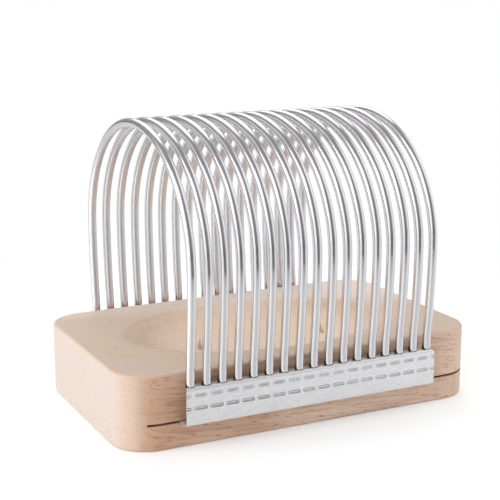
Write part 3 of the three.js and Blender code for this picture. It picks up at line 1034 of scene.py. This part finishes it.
# What lights the slicer: a matt white
table_light = add_node(white_table, "ShaderNodeBsdfDiffuse", Color=paint("#EAEAEA"))
# What the steel mirrors: the same white with the softboxes' sheen on it, up to where it ends in front
sheen_share = 0.45
table_sheen = add_node(
    white_table, "ShaderNodeMixShader", _0=sheen_share,
    _1=add_node(white_table, "ShaderNodeBsdfDiffuse", Color=paint("#F9F9F9")),
    _2=add_node(white_table, "ShaderNodeBsdfAnisotropic", Roughness=0.35),
)
# Past that end the floor is dim, in a wedge that opens towards the front. The wedge's middle and its
# soft borders are given as X over Y.
dim_start = -0.3
dim_full = -0.52
wedge_middle = 0.09
wedge_core = 0.42
wedge_reach = 0.68
dim_floor = add_node(white_table, "ShaderNodeEmission", Color=paint("#FFFFFF"), Strength=0.2)
table_xyz = add_node(white_table, "ShaderNodeSeparateXYZ", Vector=table_spot.outputs["Object"])
past_edge = add_node(
    white_table, "ShaderNodeMapRange", eased_range,
    Value=table_xyz.outputs["Y"], From_Min=dim_start, From_Max=dim_full,
)
to_side = add_node(
    white_table, "ShaderNodeMath", {"operation": "DIVIDE"},
    _0=table_xyz.outputs["X"], _1=table_xyz.outputs["Y"],
)
to_side = add_node(white_table, "ShaderNodeMath", {"operation": "SUBTRACT"}, _0=to_side, _1=wedge_middle)
to_side = add_node(white_table, "ShaderNodeMath", {"operation": "ABSOLUTE"}, _0=to_side)
in_front = add_node(
    white_table, "ShaderNodeMapRange", eased_range,
    Value=to_side, From_Min=wedge_reach, From_Max=wedge_core,
)
dim_share = add_node(white_table, "ShaderNodeMath", {"operation": "MULTIPLY"}, _0=past_edge, _1=in_front)
mirrored_table = add_node(white_table, "ShaderNodeMixShader", _0=dim_share, _1=table_sheen, _2=dim_floor)
# What a camera sees: the slicer's soft shadow near it, and white further out
shadow_end = 0.16
white_start = 0.4
table_white = add_node(white_table, "ShaderNodeEmission", Color=paint("#FFFFFF"), Strength=1.0)
table_glow = add_node(white_table, "ShaderNodeEmission", Color=paint("#FFFFFF"), Strength=0.25)
near_table = add_node(white_table, "ShaderNodeAddShader", _0=table_light, _1=table_glow)
from_slicer = add_node(
    white_table, "ShaderNodeVectorMath", {"operation": "LENGTH"}, Vector=table_spot.outputs["Object"],
)
far_share = add_node(
    white_table, "ShaderNodeMapRange", eased_range,
    Value=from_slicer.outputs["Value"], From_Min=shadow_end, From_Max=white_start,
)
seen_table = add_node(white_table, "ShaderNodeMixShader", _0=far_share, _1=near_table, _2=table_white)
table_shown = add_node(
    white_table, "ShaderNodeMixShader", _0=table_rays.outputs["Is Glossy Ray"], _1=table_light,
    _2=mirrored_table,
)
table_shown = add_node(
    white_table, "ShaderNodeMixShader", _0=table_rays.outputs["Is Camera Ray"], _1=table_shown,
    _2=seen_table,
)
add_node(white_table, "ShaderNodeOutputMaterial", Surface=table_shown)
table.data.materials.append(white_table)

studio = bpy.data.worlds.new("studio")
bpy.context.scene.world = studio
studio.use_nodes = True
studio.node_tree.nodes.clear()
direction = add_node(
    studio, "ShaderNodeSeparateXYZ", Vector=add_node(studio, "ShaderNodeTexCoord").outputs["Generated"],
)
# Degrees round from the front, to the right, and up from the horizon
toward_front = add_node(
    studio, "ShaderNodeMath", {"operation": "MULTIPLY"}, _0=direction.outputs["Y"], _1=-1.0,
)
round_angle = add_node(
    studio, "ShaderNodeMath", {"operation": "ARCTAN2"}, _0=direction.outputs["X"], _1=toward_front,
)
round_angle = add_node(studio, "ShaderNodeMath", {"operation": "DEGREES"}, _0=round_angle)
up_angle = add_node(studio, "ShaderNodeMath", {"operation": "ARCSINE"}, _0=direction.outputs["Z"])
up_angle = add_node(studio, "ShaderNodeMath", {"operation": "DEGREES"}, _0=up_angle)
wall_level = 0.55
# Each panel: its left and right edge, its lower and upper edge, in degrees, and its brightness. A
# later panel stands in front of an earlier one.
panels = [
    (-200, 200, 56, 100, 0.32),
    (-200, -134, -100, 56, 0.36),
    (-168, -146, -100, 8, 0.2),
    (140, 182, 20, 54, 1.05),
    (-136, -86, -100, 36, 0.9),
    (-90, -40, -100, 60, 1.25),
    (-32, 24, -100, 60, 0.25),
    (-32, 24, -100, 6, 0.17),
    (50, 114, -100, 62, 1.05),
]
# A panel's border is soft for this many degrees to either side
panel_edge = 7
seen_level = wall_level
for left, right, low, high, brightness in panels:
    in_panel = 1.0
    for angle, edge, way in (
        (round_angle, left, 1), (round_angle, right, -1), (up_angle, low, 1), (up_angle, high, -1),
    ):
        past = add_node(
            studio, "ShaderNodeMapRange", eased_range, Value=angle,
            From_Min=edge - way * panel_edge, From_Max=edge + way * panel_edge,
        )
        in_panel = add_node(studio, "ShaderNodeMath", {"operation": "MULTIPLY"}, _0=past, _1=in_panel)
    seen_level = add_node(studio, "ShaderNodeMix", Factor=in_panel, A=seen_level, B=brightness)
# The wood gets some more light than the steel mirrors, and a camera sees plain white
fill_light = 0.35
fill_level = add_node(studio, "ShaderNodeMath", {"operation": "ADD"}, _0=seen_level, _1=fill_light)
rays = add_node(studio, "ShaderNodeLightPath")
seen_level = add_node(
    studio, "ShaderNodeMix", Factor=rays.outputs["Is Diffuse Ray"], A=seen_level, B=fill_level,
)
seen_level = add_node(studio, "ShaderNodeMix", Factor=rays.outputs["Is Camera Ray"], A=seen_level, B=1.0)
studio_light = add_node(studio, "ShaderNodeBackground", Color=paint("#FFFFFF"), Strength=seen_level)
add_node(studio, "ShaderNodeOutputWorld", Surface=studio_light)

# Each lamp: degrees round and up, strength, and how wide it looks in degrees
lamps = {"left_key": (-97, 24, 0.85, 40), "rear_key": (165, 42, 0.35, 45)}
for name, (around, up, strength, width) in lamps.items():
    lamp_data = bpy.data.lights.new(name, "SUN")
    lamp_data.energy = strength
    lamp_data.angle = math.radians(width)
    lamp = bpy.data.objects.new(name, lamp_data)
    bpy.context.scene.collection.objects.link(lamp)
    lamp_round = math.radians(around)
    lamp_up = math.radians(up)
    lamp_from = Vector((
        math.sin(lamp_round) * math.cos(lamp_up),
        -math.cos(lamp_round) * math.cos(lamp_up),
        math.sin(lamp_up),
    ))
    lamp.rotation_euler = lamp_from.to_track_quat("Z", "Y").to_euler()

# The camera stands to the left of the front and looks a little down on the slicer
camera_data = bpy.data.cameras.new("camera")
camera = bpy.data.objects.new("camera", camera_data)
bpy.context.scene.collection.objects.link(camera)
bpy.context.scene.camera = camera
camera_azimuth = math.radians(-26.475)
camera_elevation = math.radians(12.89)
camera_distance = 707.913 * mm
camera_target = Vector((-4.817 * mm, 0, 85.435 * mm))
camera_back = Vector((
    math.sin(camera_azimuth) * math.cos(camera_elevation),
    -math.cos(camera_azimuth) * math.cos(camera_elevation),
    math.sin(camera_elevation),
))
camera.location = camera_target + camera_distance * camera_back
camera.rotation_euler = (math.pi / 2 - camera_elevation, 0, camera_azimuth)
camera_data.sensor_width = 36
camera_data.lens = 87.353
bpy.context.scene.view_settings.view_transform = "Standard"
